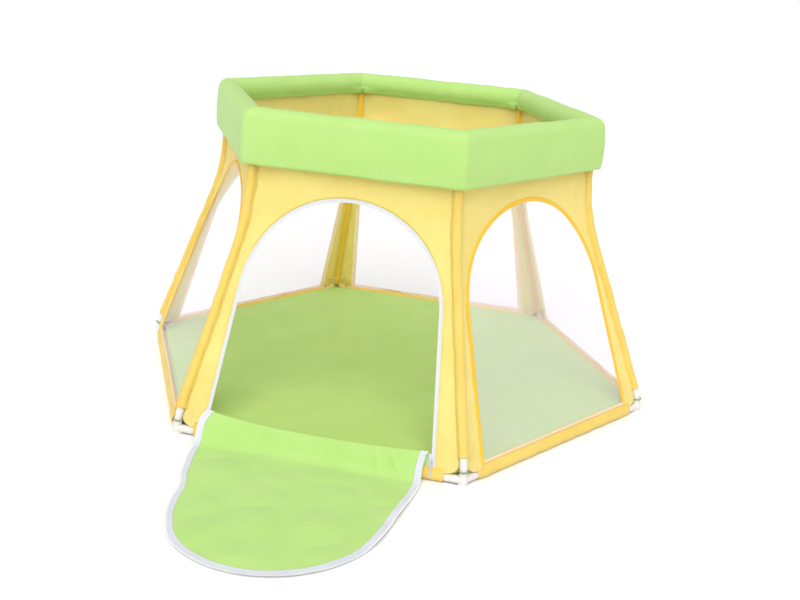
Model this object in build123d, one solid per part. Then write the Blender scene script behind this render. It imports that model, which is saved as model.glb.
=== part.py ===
"""Hexagonal travel play yard: a push-fit tube frame, fabric walls with mesh windows, a zip door and a mat.

Frame: +Z up, origin on the floor at the centre of the six-sided base. The doorway faces -Y. Millimetres.
Sides are numbered from the doorway, anticlockwise seen from above; corners lie between them.
"""

import math
import os

from build123d import *

# ---- driving dimensions ----------------------------------------------------------------------------------
SIDES = 6
BASE_R = 628.0            # corner radius of the bottom rails' axes
TOP_R = 447.0             # corner radius of the top rails' axes
BASE_Z = 12.0             # height of the bottom rails' axes
TOP_Z = 668.0             # height of the top rails' axes
POST_LEAN = 22.0          # degrees from upright, below the post's bend
POST_BEND_T = 87.5        # tangent length of the post's upper bend

TUBE_R = 8.5
TUBE_WALL = 0.8
SPIGOT_R = TUBE_R - TUBE_WALL - 0.06
SPIGOT_LEN = 34.0
SHOULDER_GAP = 0.2        # between a tube's end and the corner's shoulder

FOOT_ARM = 42.0           # corner centre to shoulder, bottom rails
FOOT_RISE = 10.0          # upright part of the foot's post arm above the rail axis
FOOT_ARC_R = 70.0         # bend of the foot's post arm
FOOT_NECK = 11.0          # straight part of the post arm past its bend
FOOT_BALL_R = 11.0
FOOT_PAD_R = 9.5
TOP_ARM = 34.0            # corner centre to shoulder, top corner
TOP_BALL_R = 9.5

CLOTH = 1.5               # thickness of a woven panel
MESH = 0.9                # thickness of a mesh window
SLEEVE_R = 10.2           # outside of the cloth sleeve on a tube
SLEEVE_BORE_R = 8.9
SLEEVE_LOW_Z = 57.0       # lower end of a post sleeve
SLEEVE_HIGH_Z = 630.0
HEM_END = 39.0            # corner centre to the end of a bottom hem
PANEL_LOW_Z = 21.6        # where a panel meets its bottom hem
PANEL_HIGH_Z = 643.0
POST_CLEAR = 11.0         # post axis to a panel's edge, along the panel
CORNER_ROUND_R = 26.4     # rounded lower corner of a panel, beside each foot

ARCH_R = 225.0            # crown of the doorway and windows, seen square on
ARCH_Z = 298.0            # height of the crown's centre
ARCH_FLARE = 6.0          # degrees that the sides spread towards the floor
WINDOW_LOW_Z = 31.0
MESH_LAP = 9.0            # mesh behind the panel's edge
MESH_GAP = 0.2            # between the mesh and the panel
MESH_LIFT = 0.5           # mesh's lower edge above the panel's
BINDING = 8.0             # width of the tape round a window
BINDING_T = 1.2
BINDING_GAP = 0.1
BINDING_CLEAR = 12.0      # post axis to the tape, along the panel

ZIP_ARCH_W = 6.0          # zip tape on the doorway's edge
ZIP_GAP = 3.4             # between the two rows of teeth
ZIP_DOOR_W = 15.0         # zip tape on the door's edge
ZIP_SEAM = 0.3            # between a zip tape and the cloth it is sewn to
ZIP_LOW_Z = 23.5
SILL_Z = 48.0             # height of the door's fold line
SILL_INSET = 15.4         # opening's edge to the sill's ends
FOLD_CLEAR = 5.6          # cloth kept clear of each fold axis
SLIDER_CLEAR = 4.2        # lower door's tape kept back from the parked slider
ROLL_AT = 45.0            # door fold line to its second fold, along the cloth
OPEN_LOWER = -50.0        # degrees of the lower door above the horizontal, open
OPEN_MAIN = 0.6           # the same for the start of the main door

SLIDER_Z = 38.0           # height of the zip slider, doorway open
SLIDER_W = 10.6
SLIDER_TAIL_W = 7.6
SLIDER_L = 15.0
WING = 1.1                # thickness of each of the slider's two wings
WING_GAP = 2.6
WING_CORNER_R = 1.4
BRIDGE = (1.8, 4.6)       # width and length of the bridge between the wings
BRIDGE_BACK = 1.0         # bridge behind the slider's head
BAIL = (1.8, 8.4, 3.4)    # width, length and height of the loop that holds the pull
BAIL_HOLE = (5.6, 2.4)    # length and height of its hole
BAIL_SINK = 0.1           # loop let into the upper wing
PULL_W = 5.0
PULL_L = 31.0
PULL_T = 1.5
PULL_WINDOW = (2.6, 4.2)  # width, and length below the cross bar
PULL_BAR_R = 0.75
PULL_HOLE_R = 1.2
PULL_HOLE_UP = 3.5        # hole's middle above the pull's end
PULL_DOWN = 1.4           # cross bar below the slider's middle

FOAM_R = 21.0             # padding round a top rail
FOAM_BORE_R = 9.4
FOAM_MITRE = 0.5          # padding's end to the mitre
FOAM_CORNER_R = 10.2      # room in the padding for a top corner
COVER = 1.4
COVER_R = 22.7            # middle of the cover's cloth round the padding
COVER_HEM = 228.0         # degrees round the padding from outwards to the cover's inner hem
COVER_OUTER = 8.0         # the same to where the cover leaves the padding for the band
BAND_U = 24.0             # middle of the band's outer ply, outwards of the rail axis
BAND_IN_U = 15.6          # middle of the band's inner ply
BAND_HIGH = -12.0         # where the band's outer ply becomes upright
BAND_LOW = -93.0          # lower edge of the band below the rail axis
BAND_HEM = 5.0            # height of the band's rounded lower edge
BAND_RETURN = (1.0, -25.5)  # where the inner ply ends against the panel's top edge
POST_HOLE_R = 11.0        # hole in the cover for each post
BAND_PAD = (17.6, 22.4)   # inner and outer faces of the band's padding
BAND_PAD_Z = (-86.0, -23.5)
BAND_PAD_MITRE = 1.0

MAT_APOTHEM = 530.0
MAT_CORNER_R = 30.0
MAT_Z = (0.0, 31.0)
MAT_CLOTH = 1.2
MAT_GAP = 0.2             # between the mat's foam and its cover
TIE_R = 1.8               # elastic loop that holds a mat corner
TIE_GAP = 0.6             # between the loop and the foot's arm
TIE_TAB = (14.0, 2.0)     # width and thickness of the tab between the loop and the mat
TIE_LIFT = 0.1            # tab above the mat's face
TIE_LAP = 26.0            # tab's inner end from the mat's unrounded corner

WALL_DEPTH = 300.0        # cutting block through a wall
OUT = "parts"

# ---- derived ---------------------------------------------------------------------------------------------
HALF = 180.0 / SIDES
COS_HALF = math.cos(math.radians(HALF))
LEAN = math.radians(POST_LEAN)
FOOT_BEND_END = (
    BASE_R - FOOT_ARC_R * (1 - math.cos(LEAN)),
    BASE_Z + FOOT_RISE + FOOT_ARC_R * math.sin(LEAN),
)
FOOT_SHOULDER = (
    FOOT_BEND_END[0] - FOOT_NECK * math.sin(LEAN),
    FOOT_BEND_END[1] + FOOT_NECK * math.cos(LEAN),
)
BEND_Z = FOOT_BEND_END[1] + (FOOT_BEND_END[0] - TOP_R) / math.tan(LEAN)
PANEL_SLOPE = math.tan(LEAN) * COS_HALF
PANEL_LEAN = math.degrees(math.atan(PANEL_SLOPE))
CORNER_NAMES = ["front_right", "right", "back_right", "back_left", "left", "front_left"]
SIDE_NAMES = ["front", "right_front", "right_back", "back", "left_back", "left_front"]
CORNER_ANGLES = [-60.0 + 60.0 * i for i in range(SIDES)]
SIDE_TURNS = [60.0 * i for i in range(SIDES)]


def save(name, *shapes):
    """Writes the solids as one node."""
    solids = [s for shape in shapes for s in shape.solids()]
    export_step(Compound(children=solids) if len(solids) > 1 else solids[0], f"{OUT}/{name}.step")


def at_corner(shape, angle):
    """A shape drawn in the XZ plane of the +X corner, turned to another corner."""
    return shape.rotate(Axis.Z, angle)


def at_side(shape, turn):
    """A shape drawn on the -Y side, turned to another side."""
    return shape.rotate(Axis.Z, turn)


def rod(start, end, radius):
    """A solid cylinder between two points."""
    start, end = Vector(*start), Vector(*end)
    along = end - start
    return Plane(start, z_dir=along) * extrude(Circle(radius), amount=along.length)


def swept(path, radius, bore=0.0):
    """A round bar, or a tube, along a path of edges that are tangent to each other."""
    wire = Wire(path)
    plane = Plane(wire @ 0, z_dir=wire % 0)
    bar = sweep(plane * Circle(radius), path=wire)
    return bar - sweep(plane * Circle(bore), path=wire) if bore else bar


# ---- frame -----------------------------------------------------------------------------------------------
def on_lean(z):
    """A point of the post's leaning axis at a height, in the XZ plane of the +X corner."""
    return (FOOT_BEND_END[0] - (z - FOOT_BEND_END[1]) * math.tan(LEAN), 0, z)


def post_path(low_z, high_z):
    """The post's axis from the lean, through its bend, to upright."""
    bend_low = BEND_Z - POST_BEND_T * math.cos(LEAN)
    bend_high = (TOP_R, 0, BEND_Z + POST_BEND_T)
    bend = TangentArc(on_lean(bend_low), bend_high, tangent=(-math.sin(LEAN), 0, math.cos(LEAN)))
    return [Line(on_lean(low_z), on_lean(bend_low)), bend, Line(bend_high, (TOP_R, 0, high_z))]


def rail_direction(sign):
    """Unit vector from the +X corner towards a neighbour."""
    a = math.radians(90 + HALF)
    return (math.cos(a), sign * math.sin(a), 0)


def arm(centre, direction, length):
    """A corner's arm and the spigot that goes into the tube."""
    centre, direction = Vector(*centre), Vector(*direction)
    tip = centre + direction * length
    return rod(centre, tip, TUBE_R) + rod(tip, tip + direction * SPIGOT_LEN, SPIGOT_R)


def foot():
    """Bottom corner: two rail arms, a bent post arm and a flat pad to stand on."""
    centre = (BASE_R, 0, BASE_Z)
    body = Pos(*centre) * Sphere(FOOT_BALL_R)
    for sign in (1, -1):
        body += arm(centre, rail_direction(sign), FOOT_ARM)
    knee = (BASE_R, 0, BASE_Z + FOOT_RISE)
    bend_end = (FOOT_BEND_END[0], 0, FOOT_BEND_END[1])
    bend = TangentArc(knee, bend_end, tangent=(0, 0, 1))
    shoulder = (FOOT_SHOULDER[0], 0, FOOT_SHOULDER[1])
    body += swept([Line(centre, knee), bend, Line(bend_end, shoulder)], TUBE_R)
    up = Vector(-math.sin(LEAN), 0, math.cos(LEAN))
    tip = Vector(*shoulder)
    body += rod(tip, tip + up * SPIGOT_LEN, SPIGOT_R)
    return body + Pos(BASE_R, 0, 0) * extrude(Circle(FOOT_PAD_R), amount=BASE_Z)


def top_corner():
    """Top corner: two rail arms and one for the post."""
    centre = (TOP_R, 0, TOP_Z)
    body = Pos(*centre) * Sphere(TOP_BALL_R)
    for sign in (1, -1):
        body += arm(centre, rail_direction(sign), TOP_ARM)
    return body + arm(centre, (0, 0, -1), TOP_ARM)


def post():
    """Bent steel tube from a foot to a top corner."""
    low = FOOT_SHOULDER[1] + SHOULDER_GAP
    return swept(post_path(low, TOP_Z - TOP_ARM - SHOULDER_GAP), TUBE_R, TUBE_R - TUBE_WALL)


def rail(radius, z, shoulder):
    """Straight steel tube of the -Y side."""
    half = radius / 2 - shoulder - SHOULDER_GAP
    y = -radius * COS_HALF
    tube = rod((-half, y, z), (half, y, z), TUBE_R)
    return tube - rod((-half, y, z), (half, y, z), TUBE_R - TUBE_WALL)


# ---- cloth walls -----------------------------------------------------------------------------------------
def wall_y(z):
    """Distance of the -Y wall from the yard's axis at a height below its bend."""
    return (FOOT_BEND_END[0] * COS_HALF) - (z - FOOT_BEND_END[1]) * PANEL_SLOPE


def wall_profile(u, low_z, high_z):
    """The wall's section in the YZ plane, moved outwards by u: a slope, a bend and an upright."""
    lean = math.radians(PANEL_LEAN)
    bend_low = BEND_Z - POST_BEND_T * math.cos(lean)
    start = (0, -wall_y(low_z) - u, low_z)
    knee = (0, -wall_y(bend_low) - u, bend_low)
    high = (0, -TOP_R * COS_HALF - u, BEND_Z + POST_BEND_T)
    bend = TangentArc(knee, high, tangent=(0, math.sin(lean), math.cos(lean)))
    return [Line(start, knee), bend, Line(high, (0, high[1], high_z))]


def wall_sheet(u_in, u_out, low_z=PANEL_LOW_Z, high_z=PANEL_HIGH_Z):
    """A sheet of the -Y wall between two offsets, wider than the side."""
    inner, outer = wall_profile(u_in, low_z, high_z), wall_profile(u_out, low_z, high_z)
    ends = [Line(inner[0] @ 0, outer[0] @ 0), Line(inner[-1] @ 1, outer[-1] @ 1)]
    section = make_face([*inner, *outer, *ends])
    return extrude(section, amount=BASE_R, dir=(1, 0, 0), both=True)


def between_posts(margin=POST_CLEAR):
    """A wedge of the yard between two posts, less a margin along the wall."""
    reach = 2 * BASE_R
    tan_half = math.tan(math.radians(HALF))
    far = reach * tan_half - margin
    outline = make_face(Polyline((0, -margin / tan_half), (far, -reach), (-far, -reach), close=True))
    return extrude(outline, amount=TOP_Z + 100)


def arch_prism(inset, low_z):
    """Everything inside the doorway's arch, seen square on, less an inset all round its curve."""
    radius = ARCH_R - inset
    flare = math.radians(ARCH_FLARE)
    tangent = (radius * math.cos(flare), ARCH_Z + radius * math.sin(flare))
    foot_x = tangent[0] + (tangent[1] - low_z) * math.tan(flare)
    crown = ThreePointArc((tangent[0], tangent[1]), (0, ARCH_Z + radius), (-tangent[0], tangent[1]))
    sides = Polyline((-tangent[0], tangent[1]), (-foot_x, low_z), (foot_x, low_z), (tangent[0], tangent[1]))
    face = Plane.XZ * make_face([crown, *sides.edges()])
    return extrude(face, amount=2 * BASE_R, dir=(0, -1, 0))


def slab(low_z, high_z):
    """Everything between two heights."""
    return Pos(0, 0, (low_z + high_z) / 2) * Box(4 * BASE_R, 4 * BASE_R, high_z - low_z)


def foot_notch(sign):
    """What is cut from the -Y side's panel beside one foot, leaving it a rounded lower corner."""
    centre = (BASE_R / 2 - HEM_END, PANEL_LOW_Z + CORNER_ROUND_R)
    notch = Pos(centre[0] + HEM_END / 2, centre[1] / 2) * Rectangle(HEM_END, centre[1])
    notch -= Pos(*centre) * Circle(CORNER_ROUND_R)
    block = extrude(Plane.XZ * notch, amount=2 * BASE_R, dir=(0, -1, 0))
    return block if sign > 0 else block.mirror(Plane.YZ)


def panel(opening):
    """A cloth wall of the -Y side with its opening, rounded beside both feet."""
    sheet = wall_sheet(-CLOTH / 2, CLOTH / 2) & between_posts()
    return sheet - foot_notch(1) - foot_notch(-1) - opening


def mesh_window():
    """Mesh behind a side wall's opening."""
    outer = -CLOTH / 2 - MESH_GAP
    sheet = wall_sheet(outer - MESH, outer)
    lapped = arch_prism(-MESH_LAP, PANEL_LOW_Z) & slab(PANEL_LOW_Z + MESH_LIFT, PANEL_HIGH_Z)
    return sheet & between_posts() & lapped


def window_binding():
    """Tape stitched round a window, on the outside of the wall."""
    inner, low_z = CLOTH / 2 + BINDING_GAP, WINDOW_LOW_Z - BINDING / 2
    sheet = wall_sheet(inner, inner + BINDING_T)
    ring = arch_prism(-BINDING / 2, low_z) - arch_prism(BINDING / 2, WINDOW_LOW_Z)
    return sheet & ring & between_posts(BINDING_CLEAR) & slab(low_z, PANEL_HIGH_Z)


def post_sleeve():
    """Cloth sleeve on a post."""
    return swept(post_path(SLEEVE_LOW_Z, SLEEVE_HIGH_Z), SLEEVE_R, SLEEVE_BORE_R)


def bottom_hem():
    """Cloth sleeve on a bottom rail."""
    half = BASE_R / 2 - HEM_END
    y = -BASE_R * COS_HALF
    ends = ((-half, y, BASE_Z), (half, y, BASE_Z))
    return rod(*ends, SLEEVE_R) - rod(*ends, SLEEVE_BORE_R)


# ---- doorway ---------------------------------------------------------------------------------------------
DOOR_EDGE = ZIP_ARCH_W + ZIP_GAP                    # opening's edge to the door's
DOOR_CLOTH_EDGE = DOOR_EDGE + ZIP_DOOR_W + ZIP_SEAM
FOLD = (0, -wall_y(SILL_Z), SILL_Z)                 # a point of the door's fold axis
CLOSED = 90 + PANEL_LEAN                            # degrees of the closed lower door above the horizontal
UP_WALL = Vector(0, math.sin(math.radians(PANEL_LEAN)), math.cos(math.radians(PANEL_LEAN)))
ROLL = Vector(*FOLD) + UP_WALL * ROLL_AT            # a point of the second fold axis, door closed


def arch_zip():
    """Zip tape and teeth on the doorway's edge."""
    band = arch_prism(ZIP_SEAM, ZIP_LOW_Z) - arch_prism(ZIP_ARCH_W, 0)
    return wall_sheet(-CLOTH / 2, CLOTH / 2) & band & slab(ZIP_LOW_Z, PANEL_HIGH_Z)


def door_sill():
    """The door's cloth below its fold line, sewn to the front hem."""
    top = SILL_Z - FOLD_CLEAR * math.cos(math.radians(PANEL_LEAN))
    strip = arch_prism(SILL_INSET, PANEL_LOW_Z) & slab(PANEL_LOW_Z, top)
    return wall_sheet(-CLOTH / 2, CLOTH / 2) & strip


def along_wall(start, end):
    """Everything between two distances up the wall from the fold line."""
    tall = end - start
    middle = Vector(*FOLD) + UP_WALL * (start + tall / 2)
    tilt = Rot(-PANEL_LEAN, 0, 0)
    return Pos(*middle) * tilt * Box(4 * BASE_R, WALL_DEPTH, tall)


def closed_door(low_edge, high_edge, inset_out, inset_in):
    """A band of the closed door between two distances up the wall and two insets from the arch."""
    sheet = wall_sheet(-CLOTH / 2, CLOTH / 2) & along_wall(low_edge, high_edge)
    ring = arch_prism(inset_out, 0)
    if inset_in is not None:
        ring -= arch_prism(inset_in, -WALL_DEPTH)
    return sheet & ring


def opened(shape, main):
    """A closed piece of the door turned to where it lies when the doorway is open."""
    if main:
        shape = shape.rotate(Axis(tuple(ROLL), (-1, 0, 0)), OPEN_MAIN - OPEN_LOWER)
    return shape.rotate(Axis(FOLD, (-1, 0, 0)), OPEN_LOWER - CLOSED)


def zip_track(z):
    """Middle of the zip's right-hand run at a height, and its unit direction upwards."""
    flare = math.radians(ARCH_FLARE)
    inset = ZIP_ARCH_W + ZIP_GAP / 2
    tangent_x = (ARCH_R - inset) * math.cos(flare)
    tangent_z = ARCH_Z + (ARCH_R - inset) * math.sin(flare)
    x = tangent_x + (tangent_z - z) * math.tan(flare)
    direction = Vector(-math.tan(flare), PANEL_SLOPE, 1).normalized()
    return Vector(x, -wall_y(z), z), direction


def slider_frame():
    """Plane of the slider: x across the zip, y up the zip, z outwards."""
    at, up = zip_track(SLIDER_Z)
    out = Vector(0, -math.cos(math.radians(PANEL_LEAN)), math.sin(math.radians(PANEL_LEAN)))
    across = up.cross(out).normalized()
    return Plane(at, x_dir=across, z_dir=across.cross(up))


def zip_slider():
    """Zip slider: two wings joined by a narrow bridge, and a bail for the pull."""
    head, tail, end = SLIDER_W / 2, SLIDER_TAIL_W / 2, SLIDER_L / 2
    wing = make_face(Polyline((-head, end), (head, end), (tail, -end), (-tail, -end), close=True))
    wing = fillet(wing.vertices(), WING_CORNER_R)
    half_gap = WING_GAP / 2
    body = Pos(0, 0, half_gap) * extrude(wing, amount=WING)
    body += Pos(0, 0, -half_gap - WING) * extrude(wing, amount=WING)
    body += Pos(0, end - BRIDGE[1] / 2 - BRIDGE_BACK, 0) * Box(BRIDGE[0], BRIDGE[1], WING_GAP + WING / 2)
    bail_z = half_gap + WING
    bail = Pos(0, 0, bail_z + BAIL[2] / 2 - BAIL_SINK) * Box(*BAIL)
    bail -= Pos(0, 0, bail_z + BAIL_HOLE[1] / 2) * Box(2 * BAIL[0], *BAIL_HOLE)
    return slider_frame() * (body + bail)


def pull_frame():
    """Plane of the pull: x along its cross bar, y up the zip, origin on the bar."""
    height = WING_GAP / 2 + WING + BAIL_HOLE[1] / 2
    return slider_frame() * Pos(0, -PULL_DOWN, height)


def pull_tab():
    """Pull: a cross bar through the bail, two cheeks and a flat tab that hangs down the wall."""
    bar = rod((-PULL_W / 2, 0, 0), (PULL_W / 2, 0, 0), PULL_BAR_R)
    window = Pos(0, -PULL_WINDOW[1] / 2) * Rectangle(*PULL_WINDOW)
    window += Pos(0, PULL_WINDOW[1] / 2) * Rectangle(*PULL_WINDOW)
    blade = Pos(0, PULL_BAR_R - PULL_L / 2) * RectangleRounded(PULL_W, PULL_L, PULL_BAR_R)
    hole = Pos(0, PULL_BAR_R + PULL_HOLE_UP - PULL_L) * Circle(PULL_HOLE_R)
    tab = Pos(0, 0, -PULL_T / 2) * extrude(blade - window - hole, amount=PULL_T)
    return pull_frame() * (tab + bar)


# ---- padded top ------------------------------------------------------------------------------------------
def side_point(u, z):
    """A point of the -Y side's section, from its offset outwards and its height over the rail axis."""
    return (0, -TOP_R * COS_HALF - u, TOP_Z + z)


def rail_padding():
    """Foam tube on the -Y side's top rail, mitred at its ends and cut out for the top corners."""
    y = -TOP_R * COS_HALF
    ends = ((-TOP_R, y, TOP_Z), (TOP_R, y, TOP_Z))
    tube = (rod(*ends, FOAM_R) - rod(*ends, FOAM_BORE_R)) & between_posts(FOAM_MITRE)
    for sign in (1, -1):
        corner = (sign * TOP_R / 2, y, TOP_Z)
        tube -= Pos(*corner) * Sphere(FOAM_CORNER_R)
        tube -= rod(corner, (corner[0], y, TOP_Z - 2 * FOAM_R), FOAM_CORNER_R)
    return tube


def band_padding():
    """Flat wadding inside the band of the -Y side."""
    u0, u1 = BAND_PAD
    z0, z1 = BAND_PAD_Z
    corners = [side_point(u0, z0), side_point(u1, z0), side_point(u1, z1), side_point(u0, z1)]
    block = extrude(make_face(Polyline(*corners, close=True)), amount=TOP_R, dir=(1, 0, 0), both=True)
    return block & between_posts(BAND_PAD_MITRE)


def on_circle(degrees):
    """A point of the cover's cloth round the padding; 0 is outwards and 90 is up."""
    a = math.radians(degrees)
    return (COVER_R * math.cos(a), COVER_R * math.sin(a))


def cover_section():
    """Section of the green cover: inner hem, over the padding, down the band and back up inside it."""
    hem, inner, top, outer = on_circle(COVER_HEM), on_circle(180), on_circle(90), on_circle(COVER_OUTER)
    over = [ThreePointArc(hem, inner, top), ThreePointArc(top, on_circle(45), outer)]
    shoulder, low = (BAND_U, BAND_HIGH), (BAND_U, BAND_LOW + BAND_HEM)
    middle = ((BAND_U + BAND_IN_U) / 2, BAND_LOW)
    inner_low = (BAND_IN_U, BAND_LOW + BAND_HEM)
    down = [Line(outer, shoulder), Line(shoulder, low), ThreePointArc(low, middle, inner_low)]
    ply_top = (BAND_IN_U, BAND_RETURN[1])
    ply = [Line(inner_low, ply_top), Line(ply_top, BAND_RETURN)]
    centre = Wire([*over, *down, *ply])
    face = trace(centre, line_width=COVER)
    return Plane((0, -TOP_R * COS_HALF, TOP_Z), x_dir=(0, -1, 0), z_dir=(-1, 0, 0)) * face


def top_cover():
    """The green cover, mitred at the six corners, joined into one ring, with a hole for each post."""
    side = extrude(cover_section(), amount=TOP_R, dir=(1, 0, 0), both=True) & between_posts(0)
    hole = Pos(TOP_R, 0, TOP_Z - TOP_ARM) * extrude(Circle(POST_HOLE_R), amount=TOP_ARM / 2)
    ring = side
    for turn in SIDE_TURNS[1:]:
        ring += at_side(side, turn)
    for angle in CORNER_ANGLES:
        ring -= at_corner(hole, angle)
    return ring


# ---- mat -------------------------------------------------------------------------------------------------
def mat_block(grow, z0, z1):
    """The mat's hexagon with rounded corners, its faces moved outwards by grow."""
    radius = (MAT_APOTHEM + grow) / COS_HALF
    face = RegularPolygon(radius, SIDES, rotation=0)
    face = fillet(face.vertices(), MAT_CORNER_R + grow)
    return Pos(0, 0, z0) * extrude(face, amount=z1 - z0)


def mat_foam():
    """Foam core of the mat."""
    inside = MAT_CLOTH + MAT_GAP
    return mat_block(-inside, MAT_Z[0] + inside, MAT_Z[1] - inside)


def mat_cover():
    """Cloth cover of the mat, with its foam's room inside."""
    return mat_block(0, *MAT_Z) - mat_block(-MAT_CLOTH, MAT_Z[0] + MAT_CLOTH, MAT_Z[1] - MAT_CLOTH)


def mat_tie():
    """Elastic loop round a foot's post arm and the tab that joins it to the mat's corner."""
    width, thick = TIE_TAB
    z = MAT_Z[1] + TIE_LIFT + thick / 2
    centre_x = BASE_R - FOOT_ARC_R + math.sqrt(FOOT_ARC_R**2 - (z - BASE_Z - FOOT_RISE) ** 2)
    reach = TUBE_R + TIE_R + TIE_GAP
    tab_in, tab_out = MAT_APOTHEM / COS_HALF - TIE_LAP, centre_x - reach
    tab = Pos((tab_in + tab_out) / 2, 0, z) * Box(tab_out - tab_in, width, thick)
    return Pos(centre_x, 0, z) * Torus(reach, TIE_R) + tab


# ---- build -----------------------------------------------------------------------------------------------
def build_frame():
    """Feet, top corners, posts and rails."""
    foot_shape, corner_shape, post_shape = foot(), top_corner(), post()
    for name, angle in zip(CORNER_NAMES, CORNER_ANGLES):
        save(f"foot_{name}", at_corner(foot_shape, angle))
        save(f"top_corner_{name}", at_corner(corner_shape, angle))
        save(f"post_{name}", at_corner(post_shape, angle))
    low, high = rail(BASE_R, BASE_Z, FOOT_ARM), rail(TOP_R, TOP_Z, TOP_ARM)
    for name, turn in zip(SIDE_NAMES, SIDE_TURNS):
        save(f"bottom_rail_{name}", at_side(low, turn))
        save(f"top_rail_{name}", at_side(high, turn))


def build_walls():
    """Front and side panels, windows, bindings, sleeves and hems."""
    save("front_panel", panel(arch_prism(0, 0)))
    side, mesh, binding = panel(arch_prism(0, WINDOW_LOW_Z)), mesh_window(), window_binding()
    for name, turn in list(zip(SIDE_NAMES, SIDE_TURNS))[1:]:
        save(f"panel_{name}", at_side(side, turn))
        save(f"mesh_{name}", at_side(mesh, turn))
    save("window_bindings", *[at_side(binding, t) for t in SIDE_TURNS[1:]])
    sleeve, hem = post_sleeve(), bottom_hem()
    save("post_sleeves", *[at_corner(sleeve, a) for a in CORNER_ANGLES])
    save("bottom_hems", *[at_side(hem, t) for t in SIDE_TURNS])


def build_doorway():
    """Sill, two-part door, zip tapes, slider and pull."""
    crown = 2 * ARCH_Z
    save("arch_zip", arch_zip())
    save("door_sill", door_sill())
    lower, upper = (FOLD_CLEAR, ROLL_AT - FOLD_CLEAR), (ROLL_AT + FOLD_CLEAR, crown)
    save("door_lower", opened(closed_door(*lower, DOOR_CLOTH_EDGE, None), main=False))
    save("door_main", opened(closed_door(*upper, DOOR_CLOTH_EDGE, None), main=True))
    low_tape = closed_door(*lower, DOOR_EDGE + SLIDER_CLEAR, DOOR_EDGE + ZIP_DOOR_W)
    save("door_zip_lower", opened(low_tape, main=False))
    save("door_zip_main", opened(closed_door(*upper, DOOR_EDGE, DOOR_EDGE + ZIP_DOOR_W), main=True))
    save("zip_slider", zip_slider())
    save("zip_pull", pull_tab())


def build_top():
    """Padding and the green cover."""
    padding, band = rail_padding(), band_padding()
    save("rail_padding", *[at_side(padding, t) for t in SIDE_TURNS])
    save("band_padding", *[at_side(band, t) for t in SIDE_TURNS])
    save("top_cover", top_cover())


def build_mat():
    """Mat, its core and its ties."""
    save("mat_foam", mat_foam())
    save("mat_cover", mat_cover())
    tie = mat_tie()
    save("mat_ties", *[at_corner(tie, a) for a in CORNER_ANGLES])


def report_joints():
    """Prints the fold axes, the slide and the pull's axis for the record."""
    rolled = Vector(*FOLD) + Vector(0, -math.cos(math.radians(OPEN_LOWER)),
                                    math.sin(math.radians(OPEN_LOWER))) * ROLL_AT
    at, up = zip_track(SLIDER_Z)
    pull = pull_frame()
    print("door_fold at", FOLD, "range", CLOSED - OPEN_LOWER)
    print("door_roll at", tuple(rolled), "range", -(OPEN_MAIN - OPEN_LOWER))
    print("zip_slide along", tuple(up), "from", tuple(at))
    print("zip_pull at", tuple(pull.position), "axis", tuple(slider_frame().x_dir))


if __name__ == "__main__":
    os.makedirs(OUT, exist_ok=True)
    build_frame()
    build_walls()
    build_doorway()
    build_top()
    build_mat()
    report_joints()
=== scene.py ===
"""The looks of the hexagonal travel play yard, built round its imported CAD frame.

Metres, +Z up, the doorway towards -Y. Sides are numbered from the doorway, anticlockwise seen from above.
Each side is drawn facing -Y and then turned by 60 degrees times its number.
Every cloth mesh carries its weave's coordinates, in metres along and across it, as the attribute "cloth".
"""

from math import asin, atan, cos, pi, radians, sin, sqrt, tan

import bpy
import numpy as np
from mathutils import Matrix, Vector


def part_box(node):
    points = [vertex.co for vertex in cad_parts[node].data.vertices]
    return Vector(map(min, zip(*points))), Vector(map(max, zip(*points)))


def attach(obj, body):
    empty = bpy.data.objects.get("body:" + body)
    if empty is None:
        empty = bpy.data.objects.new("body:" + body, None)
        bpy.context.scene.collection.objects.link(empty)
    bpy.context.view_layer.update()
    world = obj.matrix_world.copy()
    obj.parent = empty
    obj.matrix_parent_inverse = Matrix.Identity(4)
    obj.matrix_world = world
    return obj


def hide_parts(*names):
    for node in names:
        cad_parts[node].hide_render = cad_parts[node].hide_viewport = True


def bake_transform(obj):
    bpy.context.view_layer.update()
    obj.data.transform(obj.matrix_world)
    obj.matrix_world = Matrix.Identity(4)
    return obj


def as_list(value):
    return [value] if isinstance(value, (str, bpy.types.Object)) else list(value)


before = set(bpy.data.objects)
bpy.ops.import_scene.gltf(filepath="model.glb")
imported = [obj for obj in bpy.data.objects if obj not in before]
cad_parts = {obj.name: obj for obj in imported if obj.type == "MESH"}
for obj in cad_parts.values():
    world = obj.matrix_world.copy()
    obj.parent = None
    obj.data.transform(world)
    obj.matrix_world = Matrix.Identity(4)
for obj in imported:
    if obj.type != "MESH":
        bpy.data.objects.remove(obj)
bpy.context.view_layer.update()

# ---- sizes that the looks share with the frame
SIDE_NAMES = ("front", "right_front", "right_back", "back", "left_back", "left_front")
CORNER_NAMES = ("front_right", "right", "back_right", "back_left", "left", "front_left")
SIDES = len(SIDE_NAMES)
HALF = pi / SIDES
COS_HALF = cos(HALF)
TAN_HALF = tan(HALF)


def middle(node):
    """Middle of a CAD node's box."""
    low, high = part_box(node)
    return (low + high) / 2


RAIL_LOW = middle("bottom_rail_front")
RAIL_HIGH = middle("top_rail_front")
RAIL_APOTHEM = -RAIL_LOW.y
TOP_APOTHEM = -RAIL_HIGH.y
POST_LEAN = radians(22.0)
SLOPE = tan(POST_LEAN) * COS_HALF  # how far a leaning wall comes in for each metre up
WALL_LEAN = atan(SLOPE)
WALL_FOOT = (0.53945, 0.0482)  # apothem and height where the leaning wall is measured from
BEND_T = 0.0875  # tangent length of the bend above the leaning wall
BEND_R = BEND_T / tan(WALL_LEAN / 2)
BEND_HIGH = WALL_FOOT[1] + (WALL_FOOT[0] - TOP_APOTHEM) / SLOPE + BEND_T
BEND_LOW = BEND_HIGH - BEND_R * sin(WALL_LEAN)

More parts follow.
